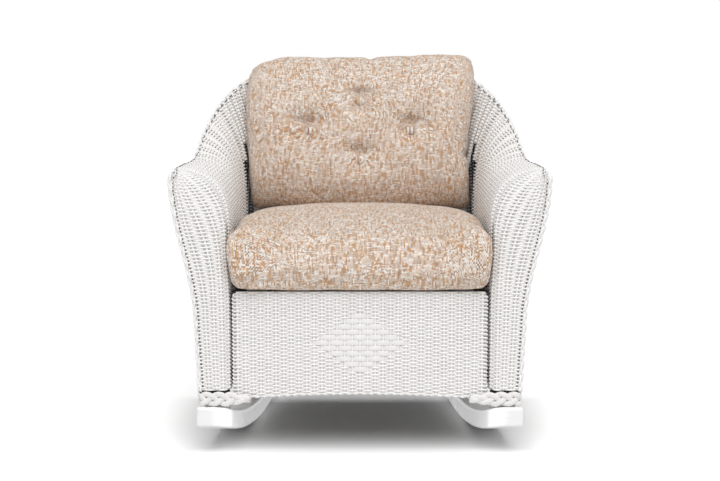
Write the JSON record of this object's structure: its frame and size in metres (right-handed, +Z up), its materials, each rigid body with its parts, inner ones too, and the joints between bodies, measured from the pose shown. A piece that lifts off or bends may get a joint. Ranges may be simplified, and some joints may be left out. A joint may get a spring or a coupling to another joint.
{
  "type": "rocking lounge chair",
  "caption": "Loom-woven lounge rocker with flared arms, barrel back, loose crowned seat cushion and button-tufted back cushion on curved runners.",
  "frame": {"origin": "On the floor under the middle of the chair's bounding box, at rest on its runners.", "axes": "+Z is up, the chair faces -Y, and +X is to the right of someone who looks at the chair from in front."},
  "size_m": [0.8877, 0.85, 0.918],
  "materials": {
    "runner_paint": "gloss",
    "frame_aluminium": "satin",
    "woven_white": "matte",
    "braid_white": "matte",
    "tweed": "matte",
    "foam": "matte",
    "cord": "matte",
    "webbing": "matte",
    "clip_steel": "satin",
    "bolt_steel": "satin",
    "nylon": "satin",
    "batten_wood": "matte"
  },
  "bodies": {
    "frame": {"runner_right": "runner_paint", "runner_left": "runner_paint", "runner_saddles": "nylon", "leg_plugs": "nylon", "runner_bolts": "bolt_steel", "front_leg_right": "frame_aluminium", "front_leg_left": "frame_aluminium", "rear_leg_right": "frame_aluminium", "rear_leg_left": "frame_aluminium", "rear_foot_right": "frame_aluminium", "rear_foot_left": "frame_aluminium", "side_rail_right": "frame_aluminium", "side_rail_left": "frame_aluminium", "front_rail": "frame_aluminium", "rear_rail": "frame_aluminium", "front_stretcher": "frame_aluminium", "rear_stretcher": "frame_aluminium", "arm_post_right": "frame_aluminium", "arm_post_left": "frame_aluminium", "back_post_right": "frame_aluminium", "back_post_left": "frame_aluminium", "arm_and_back_tube": "frame_aluminium", "foot_hoop": "frame_aluminium", "skirt_top_batten": "batten_wood", "skirt_foot_batten": "batten_wood", "webbing_lengthwise": "webbing", "webbing_crosswise": "webbing", "webbing_clips": "clip_steel", "arm_front_weave_right": "woven_white", "arm_front_weave_left": "woven_white", "inner_arm_weave_right": "woven_white", "inner_arm_weave_left": "woven_white", "inner_back_weave": "woven_white", "outer_side_weave_right": "woven_white", "outer_side_weave_left": "woven_white", "outer_back_weave": "woven_white", "front_skirt": "woven_white", "rim_braid": "braid_white", "foot_braid": "braid_white"},
    "seat_cushion": {"seat_cushion_cover": "tweed", "seat_cushion_core": "foam"},
    "back_cushion": {"back_cushion_cover": "tweed", "back_cushion_core": "foam", "tuft_buttons_front": "tweed", "tuft_buttons_rear": "tweed", "tuft_cords": "cord"}
  },
  "joints": [
    {"name": "seat_cushion_slide", "type": "slide", "parent": "frame", "child": "seat_cushion", "axis": [0, -1, 0], "range_m": [0, 0.45]},
    {"name": "back_cushion_lift", "type": "slide", "parent": "frame", "child": "back_cushion", "axis": [0, 0, 1], "range_m": [0, 0.4]}
  ]
}
